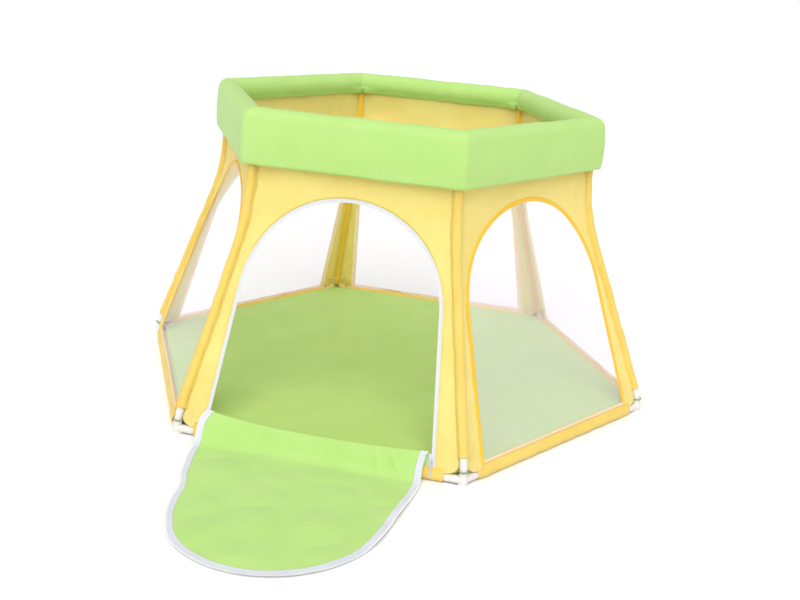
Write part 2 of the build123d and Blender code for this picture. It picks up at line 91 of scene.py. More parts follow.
ARCH_R = 0.225  # crown of the doorway and windows
ARCH_Z = 0.298  # height of the crown's centre
ARCH_FLARE = radians(6.0)  # the sides spread towards the floor
SEAM_Z = 0.030  # where a bottom hem is sewn to the wall
PANEL_HIGH = 0.645
NET_LAP = 0.009
NET_HEM_Z = 0.0345
HEM_END = 0.039  # corner to the end of a bottom hem
FOOT_ROUND_Z = (0.0216, 0.040)  # heights where a wall's rounded lower corner starts and ends
SLEEVE_Z = (0.057, 0.646)
SLEEVE_R = 0.0106
HEM_R = 0.0106
FOLD = Vector((0, -0.5395275, 0.048))  # axis that the door folds down about
ZIP_EDGE = 0.0077  # doorway's edge to the middle of the zip
ZIP_TAPE = 0.0138  # width of the zip tape that shows on the door
SHEAR = 0.020  # sideways drift of the open door for each metre of its length


def wall(z):
    """Apothem of the wall at a height."""
    z = np.asarray(z, float)
    bend = TOP_APOTHEM + BEND_R - np.sqrt(BEND_R**2 - np.clip(BEND_HIGH - z, 0, BEND_HIGH - BEND_LOW) ** 2)
    return np.where(z < BEND_LOW, WALL_FOOT[0] + (WALL_FOOT[1] - z) * SLOPE, bend)


def wall_slope(z):
    """How fast the wall comes in at a height."""
    rise = np.clip(BEND_HIGH - np.asarray(z, float), 0, BEND_HIGH - BEND_LOW)
    return rise / np.sqrt(BEND_R**2 - rise**2)


join = np.concatenate
CLOTH_Z = np.linspace(0, 0.70, 701)
CLOTH_UP = join([[0], np.cumsum(np.hypot(1, wall_slope(CLOTH_Z[1:] - 0.0005)) * np.diff(CLOTH_Z))])


def up_cloth(z):
    """Length of cloth from the floor up to a height."""
    return np.interp(z, CLOTH_Z, CLOTH_UP)


def height_of(up):
    """Height that a length of cloth from the floor reaches."""
    return np.interp(up, CLOTH_UP, CLOTH_Z)


# ---- numpy helpers
def stack(*parts):
    """Coordinates as points, along a new last axis."""
    return np.stack(np.broadcast_arrays(*parts), -1).astype(float)


def unit(v):
    return v / np.linalg.norm(v, axis=-1, keepdims=True)


def circle(angle):
    return stack(np.cos(angle), np.sin(angle))


def turned(points, side):
    """Points drawn on the front, moved round to another side."""
    angle = side * 2 * HALF
    c, s = cos(angle), sin(angle)
    x, y, z = points[..., 0], points[..., 1], points[..., 2]
    return stack(x * c - y * s, x * s + y * c, z)


def on_wall(x, z, out=0.0):
    """Points on the front wall, standing out from it."""
    slope = wall_slope(z)
    lean = 1 / np.hypot(1, slope)
    return stack(x, -(wall(z) + out * lean), np.asarray(z, float) + out * slope * lean)


def wall_out(z):
    """Unit vector out of the front wall."""
    slope = wall_slope(z)
    lean = 1 / np.hypot(1, slope)
    return stack(0, -lean, slope * lean)


def ripple(u, v, seed, length, waves=14):
    """A smooth random field of about unit height over cloth coordinates, its features about length across."""
    rng = np.random.default_rng(seed)
    total = np.zeros(np.broadcast(u, v).shape)
    for _ in range(waves):
        angle = rng.uniform(0, 2 * pi)
        pitch = length * rng.uniform(0.6, 1.7)
        phase = rng.uniform(0, 2 * pi)
        total += np.sin((u * cos(angle) + v * sin(angle)) * 2 * pi / pitch + phase)
    return total / sqrt(waves / 2)


def smooth(x, low, high):
    """0 below low, 1 above high, smooth between."""
    t = np.clip((np.asarray(x, float) - low) / (high - low), 0, 1)
    return t * t * (3 - 2 * t)


def bump(x, centre, width):
    """A smooth hump, 1 at its centre."""
    return np.exp(-(((x - centre) / width) ** 2))


def arch_line(inset, low_z, side_steps, crown_steps):
    """The arch's edge, inset towards its middle, from the lower left over the crown to the lower right."""
    radius = ARCH_R - inset
    angles = np.linspace(pi - ARCH_FLARE, ARCH_FLARE, crown_steps)
    crown_x, crown_z = radius * np.cos(angles), ARCH_Z + radius * np.sin(angles)
    side_z = np.linspace(low_z, crown_z[0], side_steps + 1)[:-1]
    side_x = crown_x[-1] + (crown_z[-1] - side_z) * tan(ARCH_FLARE)
    x = join([-side_x, crown_x, side_x[::-1]])
    z = join([side_z, crown_z, side_z[::-1]])
    return x, z


def arch_half(z, inset):
    """Half the arch's width at a height."""
    radius = ARCH_R - inset
    tangent_x, tangent_z = radius * cos(ARCH_FLARE), ARCH_Z + radius * sin(ARCH_FLARE)
    crown = np.sqrt(np.maximum(radius**2 - np.maximum(z - ARCH_Z, 0) ** 2, 0))
    return np.where(z < tangent_z, tangent_x + (tangent_z - z) * tan(ARCH_FLARE), crown)


# ---- meshes
WEAVE_SHIFT = 0.37  # sets a side's weave and crinkles apart from the next one's


def grid(points, u, v, side=0):
    """Points in rows and columns, with the cloth coordinates of each."""
    rows, cols = points.shape[:2]
    cloth = stack(np.broadcast_to(u, (rows, cols)), np.broadcast_to(v, (rows, cols)), WEAVE_SHIFT * side)
    index = np.arange(rows * cols).reshape(rows, cols)
    faces = stack(index[:-1, :-1], index[:-1, 1:], index[1:, 1:], index[1:, :-1]).reshape(-1, 4).astype(int)
    return points.reshape(-1, 3), cloth.reshape(-1, 3), faces


def add_object(name, data):
    thing = bpy.data.objects.new(name, data)
    bpy.context.scene.collection.objects.link(thing)
    return thing


def build(name, parts, material, thickness=0.0, offset=0.0, replaces=(), body="yard"):
    """One piece from grids or beads."""
    points, cloths, faces = zip(*parts)
    first = np.cumsum([0] + [len(p) for p in points[:-1]])
    faces = join([f + start for f, start in zip(faces, first)])
    mesh = bpy.data.meshes.new(name)
    mesh.from_pydata(join(points).tolist(), [], faces.tolist())
    cloth = join(cloths).astype(np.float32).ravel()
    mesh.attributes.new("cloth", "FLOAT_VECTOR", "POINT").data.foreach_set("vector", cloth)
    mesh.polygons.foreach_set("use_smooth", [True] * len(mesh.polygons))
    mesh.materials.append(MATERIALS[material])
    mesh.update()
    piece = add_object(name, mesh)
    if thickness:
        solid = piece.modifiers.new("thickness", "SOLIDIFY")
        solid.thickness = thickness
        solid.offset = offset
    if body:
        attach(piece, body)
    if replaces:
        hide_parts(*replaces)
    return piece


def along(points):
    """Distance along a line of points."""
    steps = np.linalg.norm(np.diff(points, axis=0), axis=1)
    return join([[0], np.cumsum(steps)])


def read_at(values, length, at):
    """Vectors given at lengths along a line, read at others."""
    return np.stack([np.interp(at, length, column) for column in values.T], -1)


BEAD_RINGS = ((-1.0, 0.45), (-0.6, 1.0), (0.6, 1.0), (1.0, 0.45))
BEAD_CORNERS = ((1, 1), (-1, 1), (-1, -1), (1, -1))
UP = np.array([[0.0, 0.0, 1.0]])


def beads(centres, direction, across, size):
    """Small rounded blocks. size is half the length, width and height."""
    normal = unit(np.cross(direction, across))
    rings = []
    for t, r in BEAD_RINGS:
        for a, b in BEAD_CORNERS:
            side, high = size[1] * r * a * 0.8, size[2] * r * b * 0.8
            rings.append(centres + direction * (size[0] * t) + across * side + normal * high)
    points = np.stack(rings, 1).reshape(-1, 3)
    faces = []
    for a in range(12):
        b = a + 1 if a % 4 < 3 else a - 3
        faces.append((a, b, b + 4, a + 4))
    faces += [(3, 2, 1, 0), (12, 13, 14, 15)]
    index = (np.arange(len(centres))[:, None, None] * 16 + np.array(faces)[None]).reshape(-1, 4)
    return points, points * 1.0, index


def sewn(line, across, size, pitch, path=None, teeth=False, upright=False):
    """Stitches at an even pitch along a line, or zip teeth, which lie across it.

    across is given along path, or along the line itself. If upright, it says which way is up instead.
    """
    length = along(line)
    at = np.arange(pitch / 2, length[-1], pitch)
    direction = unit(read_at(line, length, at + pitch / 4) - read_at(line, length, at - pitch / 4))
    across = unit(read_at(across, length if path is None else along(path), at))
    if upright:
        across = np.cross(direction, across)
    pair = (across, direction) if teeth else (direction, across)
    return beads(read_at(line, length, at), *pair, size)


def sweep(path, across, out, profile, side=0):
    """A closed profile of (across, out) offsets carried along a path."""
    flat, high = profile[None, :, :1], profile[None, :, 1:]
    rows = path[:, None, :] + across[:, None, :] * flat + out[:, None, :] * high
    return grid(rows, along(path)[:, None], along(profile)[None, :], side)


def tape_profile(width, thickness, steps=14, across=0.0, out=0.0):
    """Flat oval section of a tape."""
    angle = np.linspace(-pi / 2, 1.5 * pi, steps + 1)
    c, s = np.cos(angle), np.sin(angle)
    flat = np.sign(c) * np.abs(c) ** 0.5 * width / 2 + across
    thick = np.sign(s) * np.abs(s) ** 0.8 * thickness / 2 + out
    return stack(flat, thick)


# ---- materials
def srgb(r, g, b):
    """A colour of 0 to 255 values as linear light."""
    return tuple(((c / 255 + 0.055) / 1.055) ** 2.4 if c > 10 else c / 3294 for c in (r, g, b)) + (1.0,)


class Nodes:
    """One material's node tree, with short ways to add to it."""

    def __init__(self, name):
        self.material = bpy.data.materials.new(name)
        self.material.use_nodes = True
        self.tree = self.material.node_tree
        self.shader = self.tree.nodes["Principled BSDF"]

    def put(self, socket, value):
        """Sets a socket to a number or a colour, or links another node's output to it."""
        if isinstance(value, bpy.types.NodeSocket):
            self.tree.links.new(value, socket)
        elif value is not None:
            socket.default_value = value

    def add(self, kind, inputs, output=0, **settings):
        """Adds a node, fills its inputs by name or number, and returns one of its outputs."""
        node = self.tree.nodes.new("ShaderNode" + kind)
        for key, value in settings.items():
            setattr(node, key, value)
        for key, value in inputs.items():
            self.put(node.inputs[key], value)
        return node.outputs[output]

    def math(self, operation, a, b=None, c=None):
        return self.add("Math", {0: a, 1: b, 2: c}, operation=operation)

    def weighted(self, total, *terms):
        """A number plus values times their weights."""
        for value, weight in terms:
            total = self.math("MULTIPLY_ADD", value, weight, total)
        return total

    def vector(self, operation, a, b=None):
        output = "Value" if operation == "LENGTH" else "Vector"
        return self.add("VectorMath", {0: a, 1: b}, output, operation=operation)

    def noise(self, vector, scale, detail=3.0, roughness=0.55):
        inputs = {"Vector": vector, "Scale": scale, "Detail": detail, "Roughness": roughness}
        return self.add("TexNoise", inputs, "Fac")

    def spread(self, value, low, high):
        """0 at low and 1 at high."""
        return self.add("MapRange", {"Value": value, "From Min": low, "From Max": high}, "Result")

    def mix(self, share, a, b):
        return self.add("Mix", {"Factor": share, "A": a, "B": b}, "Result", data_type="RGBA")

    def bump(self, height, distance, under=None):
        inputs = {"Height": height, "Distance": distance, "Strength": 1.0, "Normal": under}
        return self.add("Bump", inputs, "Normal")

    def cloth(self):
        return self.add("Attribute", {}, "Vector", attribute_name="cloth")

    def place(self):
        return self.add("TexCoord", {}, "Object")

    def set(self, **values):
        for name, value in values.items():
            self.put(self.shader.inputs[name.replace("_", " ")], value)
        return self.material


def darker(colour, share):
    return tuple(c * share for c in colour[:3]) + (1.0,)


def woven(nodes, cloth, pitch):
    """Height of a plain weave whose threads lie a pitch apart, from -1 to 1."""
    waves = []
    for axis in "XY":
        across = nodes.add("SeparateXYZ", {0: cloth}, axis)
        waves.append(nodes.math("SINE", nodes.math("MULTIPLY", across, pi / pitch)))
    return nodes.math("MULTIPLY", *waves)


def fabric(name, colour, shade, pitch=0.0006, weave=0.00005, crinkle=0.0006, glow=0.0):
    """Woven polyester: threads, a faint mottling, fine crinkles and a soft sheen. glow lets light through."""
    nodes = Nodes(name)
    cloth = nodes.cloth()
    threads = woven(nodes, cloth, pitch)
    cloud = nodes.spread(nodes.noise(cloth, 9.0, 4.0, 0.6), 0.35, 0.68)
    fleck = nodes.noise(cloth, 900.0, 2.0, 0.7)
    tone = nodes.weighted(0.0, (cloud, 0.75), (fleck, 0.25), (threads, 0.10))
    base = nodes.mix(tone, srgb(*shade), srgb(*colour))
    crease = nodes.noise(cloth, 38.0, 5.0, 0.62)
    normal = nodes.bump(threads, weave, nodes.bump(crease, crinkle))
    nodes.set(Base_Color=base, Roughness=0.78, Normal=normal, Sheen_Weight=0.25, Sheen_Roughness=0.5,
              Specular_IOR_Level=0.25)
    if glow:
        through = nodes.add("BsdfTranslucent", {"Color": base, "Normal": normal})
        mixed = nodes.add("MixShader", {"Fac": glow, 1: nodes.shader.outputs[0], 2: through})
        nodes.put(nodes.tree.nodes["Material Output"].inputs["Surface"], mixed)
    return nodes.material


def netting(name, colour, pitch=0.0017, hole=0.00075):
    """Knitted mesh: round holes on a staggered grid in a thin sheet. Its emission is a painted glow, which
    makes the threads look as bright as the white round them.
    """
    nodes = Nodes(name)
    cloth = nodes.cloth()
    colour = srgb(*colour)
    tall = pitch * sqrt(3)
    distances = []
    for shift in (200.0, 200.5):
        cell = nodes.vector("MULTIPLY", cloth, (1 / pitch, 1 / tall, 0.0))
        cell = nodes.vector("ADD", cell, (shift, shift, 0.0))
        cell = nodes.vector("SUBTRACT", nodes.vector("FRACTION", cell), (0.5, 0.5, 0.0))
        distances.append(nodes.vector("LENGTH", nodes.vector("MULTIPLY", cell, (pitch, tall, 0.0))))
    nearest = nodes.math("MINIMUM", *distances)
    solid = nodes.math("GREATER_THAN", nearest, hole)
    normal = nodes.bump(nodes.spread(nearest, hole, pitch * 0.6), 0.0002)
    base = nodes.mix(nodes.noise(cloth, 14.0), darker(colour, 0.93), colour)
    # The emission is painted light: a glow, tinted against the yellow and green round the net, that lifts its
    # shaded threads to white.
    return nodes.set(Base_Color=base, Roughness=0.7, Alpha=solid, Normal=normal, Sheen_Weight=0.2,
                     Specular_IOR_Level=0.3, Emission_Color=(0.95, 0.85, 1.0, 1.0), Emission_Strength=0.70)


SCUFF_GREY = (0.55, 0.55, 0.56, 1)


def plastic(name, colour, shade):
    """Injection-moulded plastic: a fine spark-eroded grain, faint flow marks and handling scuffs."""
    nodes = Nodes(name)
    place = nodes.place()
    grain = nodes.noise(place, 1600.0, 2.0)
    flow = nodes.spread(nodes.noise(place, 30.0, 3.0), 0.3, 0.7)
    scuff = nodes.spread(nodes.noise(place, 160.0, 5.0, 0.75), 0.58, 0.72)
    base = nodes.mix(flow, srgb(*shade), srgb(*colour))
    base = nodes.mix(nodes.math("MULTIPLY", scuff, 0.18), base, SCUFF_GREY)
    rough = nodes.weighted(0.36, (scuff, 0.2))
    normal = nodes.bump(grain, 0.00008)
    return nodes.set(Base_Color=base, Roughness=rough, Normal=normal, Specular_IOR_Level=0.5)


def metal(name, colour, metallic, roughness, brush):
    """Metal with fine drawn lines and a few dull spots."""
    nodes = Nodes(name)
    place = nodes.place()
    colour = srgb(*colour)
    lines = nodes.noise(nodes.vector("MULTIPLY", place, brush), 1.0, 3.0)
    spots = nodes.spread(nodes.noise(place, 90.0, 4.0, 0.7), 0.5, 0.75)
    rough = nodes.weighted(roughness, (spots, 0.18), (lines, 0.12))
    return nodes.set(Base_Color=nodes.mix(spots, colour, darker(colour, 0.82)), Metallic=metallic,
                     Roughness=rough, Normal=nodes.bump(lines, 0.00006))


MATERIALS = {
    "yellow": fabric("yellow_polyester", (255, 242, 160), (253, 233, 140), glow=0.30),
    # Sleeves and hems: deeper and more orange than the walls, partly for the doubled cloth and partly as
    # painted shade, the darker tone they show in shade.
    "gold_painted_shade": fabric("doubled_yellow_polyester_painted_shade", (250, 222, 120), (245, 212, 102), glow=0.15),
    "binding": fabric("orange_binding", (252, 204, 52), (246, 190, 38), pitch=0.0009, weave=0.00012),
    "net_hem": fabric("folded_net_hem", (250, 220, 180), (246, 210, 165), pitch=0.0012, weave=0.0002),
    "net": netting("white_netting_painted_glow", (186, 182, 192)),
    "green": fabric("green_polyester", (196, 234, 140), (189, 229, 130), glow=0.12),
    "mat": fabric("green_mat_cloth", (177, 211, 110), (170, 205, 102), pitch=0.0007, crinkle=0.0008),
    "elastic": fabric("green_elastic", (150, 172, 116), (128, 150, 96), pitch=0.0010, weave=0.00025),
    "zip_tape": fabric("white_zip_tape", (228, 231, 238), (214, 218, 228), pitch=0.0008, weave=0.00016),
    "teeth": plastic("white_zip_teeth", (248, 248, 250), (236, 236, 240)),
    "thread_yellow": plastic("yellow_thread", (246, 206, 96), (232, 186, 70)),
    "plastic": plastic("white_corner_plastic", (236, 233, 228), (226, 222, 216)),
    "tube": metal("coated_steel_tube", (226, 226, 230), 0.15, 0.32, (60.0, 60.0, 900.0)),
    "zip_metal": metal("nickel_zip_metal", (232, 233, 236), 1.0, 0.22, (900.0, 200.0, 200.0)),
}


# ---- walls
POST_GAP = 0.0098  # post's axis to the panel's edge, inside the sleeve
ROUND_STEPS, SIDE_STEPS, TOP_STEPS = 12, 56, 58  # points along a panel's rounded corner, side and top
ROUND_AT = 0.036  # length of the arch's edge that faces the rounded corner
SHOULDER = radians(52.0)  # half of the crown's part that faces the panel's top
STITCH = (0.0012, 0.0003, 0.0004)
STITCH_PITCH = 0.0036
TAPE_PITCH = 0.0034
TOOTH_PITCH = 0.0026


def wall_border():
    """A panel's outer edge from lower left over the top to lower right, matched to the arch's edge."""
    low_z, high_z = FOOT_ROUND_Z
    foot_x = RAIL_APOTHEM * TAN_HALF - HEM_END
    side_z = np.linspace(high_z, PANEL_HIGH, SIDE_STEPS + 1)
    side_x = wall(side_z) * TAN_HALF - POST_GAP
    angles = np.linspace(pi / 2, 0, ROUND_STEPS)
    round_x = foot_x + (side_x[0] - foot_x) * np.cos(angles)
    round_z = high_z - (high_z - low_z) * np.sin(angles)
    x, z = join([round_x, side_x[1:]]), join([round_z, side_z[1:]])
    top_x = np.linspace(-x[-1], x[-1], TOP_STEPS + 2)[1:-1]
    return join([-x, top_x, x[::-1]]), join([z, np.full(TOP_STEPS, PANEL_HIGH), z[::-1]])


def arch_border():
    """The arch's edge, cut at the places that match the panel's outer edge."""
    x, z = arch_line(0.0, FOOT_ROUND_Z[0], 60, 241)
    length = along(stack(x, z))
    total = length[-1]
    shoulder_at = total / 2 - ARCH_R * SHOULDER
    side = np.linspace(ROUND_AT, shoulder_at, SIDE_STEPS + 1)[1:]
    left = join([np.linspace(0, ROUND_AT, ROUND_STEPS), side])
    top = np.linspace(shoulder_at, total - shoulder_at, TOP_STEPS + 2)[1:-1]
    at = join([left, top, total - left[::-1]])
    return np.interp(at, length, x), np.interp(at, length, z)


def wall_panel(side):
    """One wall's cloth from its arch to its posts, drawn taut with small strains towards its corners."""
    inner_x, inner_z = arch_border()
    outer_x, outer_z = wall_border()
    rows = np.linspace(0, 1, 26)[:, None]
    x = inner_x * (1 - rows) + outer_x * rows
    z = inner_z * (1 - rows) + outer_z * rows
    edge = smooth(rows, 0.04, 0.24) * smooth(1 - rows, 0.0, 0.10)
    up = up_cloth(z)
    strain = ripple(x * 0.35, up, 11 + side, 0.060) * 0.0006 + ripple(x, up * 0.25, 31 + side, 0.040) * 0.0004
    broad = ripple(x, up, 51 + side, 0.180) * 0.0011
    corner = bump(np.abs(x), 0.250, 0.050) * bump(z, 0.080, 0.060)
    pulls = corner * np.sin((np.abs(x) * 0.75 + z * 0.65) * 2 * pi / 0.021) * 0.0007
    shoulder = bump(np.abs(x), 0.190, 0.035) * smooth(z, 0.46, 0.56)
    tucks = shoulder * np.sin((np.abs(x) - z * 0.45) * 2 * pi / 0.019) * 0.0008
    out = (strain + broad + pulls + tucks) * edge
    return grid(turned(on_wall(x, z, out), side), x, up, side)


def net_window(side):
    """The mesh window behind a side's arch."""
    rise = ARCH_Z + ARCH_R + NET_LAP - 0.0004 - SEAM_Z
    z = (SEAM_Z + rise * np.sin(np.linspace(0, pi / 2, 74)) ** 0.9)[:, None]
    share = np.linspace(-1, 1, 65)[None, :]
    x = arch_half(z, -NET_LAP) * share
    up = up_cloth(z)
    sag = ripple(x, up, 71 + side, 0.150) * 0.0010 + ripple(x, up * 0.4, 91 + side, 0.055) * 0.0003
    edge = smooth(1 - np.abs(share), 0.0, 0.15)
    return grid(turned(on_wall(x, z, -0.0016 + sag * edge), side), x, up, side)


def arch_path(side):
    """A line round the arch with the directions into the opening and out of the wall."""
    x, z = arch_line(0.0, SEAM_Z, 60, 150)
    path, out = on_wall(x, z), wall_out(z)
    inward = unit(np.cross(out, unit(np.gradient(path, axis=0))))
    if inward[len(x) // 2, 2] > 0:
        inward = -inward
    return [turned(line, side) for line in (path, inward, out)]


def window_tape(side):
    """Orange tape folded over the edge of a window, with its line of stitches."""
    path, inward, out = arch_path(side)
    pucker = ripple(along(path), 0.0, 300 + side, 0.009) * 0.00012
    profile = tape_profile(0.0094, 0.0026, 16, -0.0028, 0.0011)
    tape = sweep(path + out * pucker[:, None], inward, out, profile, side)
    line = path - inward * 0.0050 + out * 0.0022
    return tape, sewn(line, inward, (0.0011, 0.00032, 0.00032), TAPE_PITCH, path)


def net_hem(side):
    """The net's folded lower edge above a bottom hem."""
    half = arch_half(NET_HEM_Z, 0.0) + 0.002
    x = np.linspace(-half, half, 120)
    z = NET_HEM_Z + ripple(x, 0.0, 330 + side, 0.12) * 0.0003
    path, out = on_wall(x, z, 0.0009), wall_out(z)
    across = unit(np.cross(np.gradient(path, axis=0), out))
    across = across * np.where(across[:, 2:] < 0, -1, 1)
    return sweep(*(turned(line, side) for line in (path, across, out)), tape_profile(0.0066, 0.0020), side)


def post_line(corner, low_z, high_z, steps):
    """A post's axis with its outward and sideways directions."""
    z = np.linspace(low_z, high_z, steps)
    slope = wall_slope(z) / COS_HALF
    lean = 1 / np.hypot(1, slope)
    lines = stack(wall(z) / COS_HALF, 0, z), stack(lean, 0, slope * lean), stack(0, 1, 0 * z)
    return [turned(line, corner - 1) for line in lines]


LINING_Z = (0.0180, 0.0590)
LINING_REACH = 0.030  # how far the lining runs along each wall from its corner
SLEEVE_SEAM = radians(112.0)  # angle from outward where the walls are sewn to a sleeve
SLEEVE_STITCH = SLEEVE_SEAM - 0.30
SLEEVE_SCALE = 0.012  # cloth for each radian round a sleeve, for its slack


def post_sleeve(corner):
    """Sleeve round one post, pinched where the walls are sewn on, and its two lines of stitches."""
    axis, outward, sideways = post_line(corner, *SLEEVE_Z, 190)
    turn = np.linspace(-pi, pi, 49)[None, :]
    from_out = np.abs(turn)
    up = along(axis)[:, None]
    pinch = bump(from_out, SLEEVE_SEAM - 0.22, 0.20) * 0.0005
    pinch = pinch - bump(from_out, SLEEVE_SEAM + 0.05, 0.20) * 0.0022
    flat = ripple(up, turn * SLEEVE_SCALE, 400 + corner, 0.050) * 0.00035
    slack = ripple(up * 0.3, turn * SLEEVE_SCALE, 430 + corner, 0.020) * 0.00022
    radius = SLEEVE_R - pinch + flat + slack + bump(up, 0.003, 0.003) * 0.0005
    rows = axis[:, None, :] + outward[:, None, :] * (radius * np.cos(turn))[..., None]
    rows = rows + sideways[:, None, :] * (radius * np.sin(turn))[..., None]
    stitches = []
    for edge in (-SLEEVE_STITCH, SLEEVE_STITCH):
        facing = outward * cos(edge) + sideways * sin(edge)
        line = axis + facing * (SLEEVE_R + 0.0001)
        across = np.cross(facing, unit(line[1:2] - line[:1]))
        stitches.append(sewn(line, across, (0.0012, 0.0003, 0.00034), STITCH_PITCH))
    return grid(rows, up, turn * SLEEVE_R, corner + 10), stitches


def foot_lining(corner):
    """The walls' cloth where it is joined on the inside of a foot, below the sleeve."""
    z = np.linspace(*LINING_Z, 10)[:, None]
    along_side = np.linspace(-LINING_REACH, LINING_REACH, 41)[None, :]
    round_post = 0.0118 - 0.0014 * smooth(z, 0.045, 0.058)
    inside = 0.0014 + round_post * bump(along_side, 0, 0.0105) + 0.0120 * (1 - smooth(z, 0.018, 0.034))
    radial = wall(z) / COS_HALF - np.abs(along_side) * sin(HALF) - inside
    rows = turned(stack(radial, along_side * COS_HALF, z), corner - 1)
    return grid(rows, z, along_side, corner + 60)


def inner_seam(corner):
    """Orange tape over the seam on the inside of a post."""
    axis, outward, sideways = post_line(corner, FOOT_ROUND_Z[1], PANEL_HIGH, 120)
    over_lining = 0.0030 * (1 - smooth(axis[:, 2:], 0.054, 0.066))
    wave = ripple(along(axis), 0.0, 460 + corner, 0.05) * 0.0004
    path = axis - outward * (SLEEVE_R + 0.0008 + over_lining) + sideways * wave[:, None]
    return sweep(path, sideways, -outward, tape_profile(0.0105, 0.0018), corner + 20)


def hem_profile():
    """Section of a bottom hem: round the rail and up to its seam, as (out, up) from the rail's axis."""
    seam_up = SEAM_Z - RAIL_LOW.z
    end = asin(HEM_R / seam_up) + 0.02
    turn = np.linspace(end, -pi - end, 30)
    ring = HEM_R * circle(turn)
    seam_out = float(wall(SEAM_Z)) - RAIL_APOTHEM
    top_out, top_in = np.array([seam_out + 0.0013, seam_up]), np.array([seam_out - 0.0013, seam_up])
    flank = np.linspace(0, 1, 7)[1:-1, None]
    hollow = stack(-0.0009 * np.sin(flank[:, 0] * pi), 0)
    outer = top_out * (1 - flank) + ring[0] * flank + hollow
    inner = ring[-1] * (1 - flank) + top_in * flank - hollow
    return join([[top_in], [top_out], outer, ring, inner, [top_in]])


def bottom_hem(side):
    """Cloth channel round one bottom rail, and its line of stitches."""
    half = RAIL_APOTHEM * TAN_HALF - HEM_END
    x = np.linspace(-half, half, 170)[:, None]
    profile = hem_profile()
    out, up = profile.T[:, None, :]
    slack = ripple(x, up * 0.6 + out * 0.4, 500 + side, 0.045) * 0.0004
    slack += ripple(x, up * 0.2, 530 + side, 0.016) * 0.00018 * smooth(up, 0.0, 0.016)
    grow = 1 + slack * smooth(SEAM_Z - RAIL_LOW.z - up, 0.0, 0.006) / np.maximum(np.hypot(out, up), 0.004)
    points = stack(x, -(RAIL_APOTHEM + out * grow), np.maximum(RAIL_LOW.z + up * grow, 0.0012))
    line = turned(stack(x[:, 0], -(RAIL_APOTHEM + 0.0012), SEAM_Z - 0.0035), side)
    cloth = grid(turned(points, side), x, along(profile)[None, :], side + 30)
    return cloth, sewn(line, UP + 0 * line, STITCH, STITCH_PITCH)


def build_walls():
    """Panels, windows, tapes, sleeves and hems."""
    for side, name in enumerate(SIDE_NAMES):
        node = f"panel_{name}" if side else "front_panel"
        part = wall_panel(side)
        piece = build(f"{node}_cloth", [part], "yellow", thickness=0.0010, replaces=[node])
        if side:
            part = net_window(side)
            net = build(f"mesh_{name}_net", [part], "net", replaces=[f"mesh_{name}"])
    windows, every = range(1, SIDES), range(SIDES)
    tapes, stitches = zip(*map(window_tape, windows))
    build("window_bindings_tape", tapes, "binding", replaces=["window_bindings"])
    build("window_stitches", stitches, "thread_yellow")
    build("window_net_hems", [*map(net_hem, windows)], "net_hem")
    sleeves, stitches = zip(*map(post_sleeve, every))
    build("post_sleeves_cloth", sleeves, "gold_painted_shade", 0.0008, -1.0, ["post_sleeves"])
    build("foot_linings_cloth", [*map(foot_lining, every)], "yellow", 0.0008)
    build("post_sleeve_stitches", sum(stitches, []), "thread_yellow")
    build("post_seam_tapes", [*map(inner_seam, every)], "binding")
    channels, stitches = zip(*map(bottom_hem, every))
    build("bottom_hems_cloth", channels, "gold_painted_shade", 0.0006, 1.0, ["bottom_hems"])
    build("bottom_hem_stitches", stitches, "thread_yellow")


# ---- doorway and door
FOLD_R = 0.0026  # radius of the fold at the top of the sill
DROP_ANGLE = radians(62.0)
LEFT_DROP = radians(44.0)  # the fold's raised left end drops less steeply
FLOOR_R = 0.030  # radius where the hanging cloth meets the floor
FLOOR_GAP = 0.0028
SAG = 0.0125  # how much higher the fold line is at its ends than in its middle
FOLD_UP = up_cloth(FOLD.z)
DOOR_END = up_cloth(ARCH_Z + ARCH_R - ZIP_EDGE) - FOLD_UP
SPLIT = 0.020  # length of cloth from the fold where the lower part ends
DOOR_HALF = 0.245
DOOR_MIDDLE = (0.0, 0.2, 0.0)
CREASES = (  # at the fold: place across, lean, width and depth
    (0.125, 0.35, 0.0050, 1.0), (0.150, 0.75, 0.0045, 0.8),
    (0.050, -0.30, 0.0060, 0.5), (-0.020, 0.20, 0.0060, 0.45),
)
TAPE_IN = np.array([0.0, 0.0012, 0.0032, 0.0060, 0.0090, 0.0120, ZIP_TAPE])  # rows of the door's tape
TAPE_LIFT = np.array([0.0009, 0.0012, 0.0010, 0.0009, 0.0009, 0.0010, 0.0007])
TAPE_SEWN = 5  # the row that its stitches follow


def raised(share):
    """How far the fold line stands above the fold's axis, by the share of the door's half width."""
    share = np.asarray(share, float)
    left = SAG * np.clip(-share, 0, 1) ** 3.2
    right = 0.55 * SAG * np.clip(share, 0, 1) ** 1.7
    return left + right - 0.0025 * (1 - share**2)


def fall(rest, start_y, start_z, drop_angle):
    """How cloth comes up the wall, folds outwards and drops to the floor, by its length past the fold.

    Returns the distance out from the middle of the yard and the height.
    """
    first = pi / 2 + WALL_LEAN
    turn = first + drop_angle
    theta = first - np.clip(rest, 0, FOLD_R * turn) / FOLD_R
    out = start_y + FOLD_R * (sin(first) - np.sin(theta))
    high = start_z + FOLD_R * (np.cos(theta) - cos(first))
    drop = start_z + FOLD_R * (np.cos(drop_angle) - cos(first)) - FLOOR_GAP
    run = (drop - FLOOR_R * (1 - np.cos(drop_angle))) / np.sin(drop_angle)
    straight = np.clip(rest - FOLD_R * turn, 0, run)
    out, high = out + straight * np.cos(drop_angle), high - straight * np.sin(drop_angle)
    theta = np.clip(rest - FOLD_R * turn - run, 0, FLOOR_R * drop_angle) / FLOOR_R - drop_angle
    out = out + FLOOR_R * (np.sin(theta) + np.sin(drop_angle))
    high = high - FLOOR_R * (np.cos(theta) - np.cos(drop_angle))
    return out + np.maximum(rest - FOLD_R * turn - run - FLOOR_R * drop_angle, 0), high


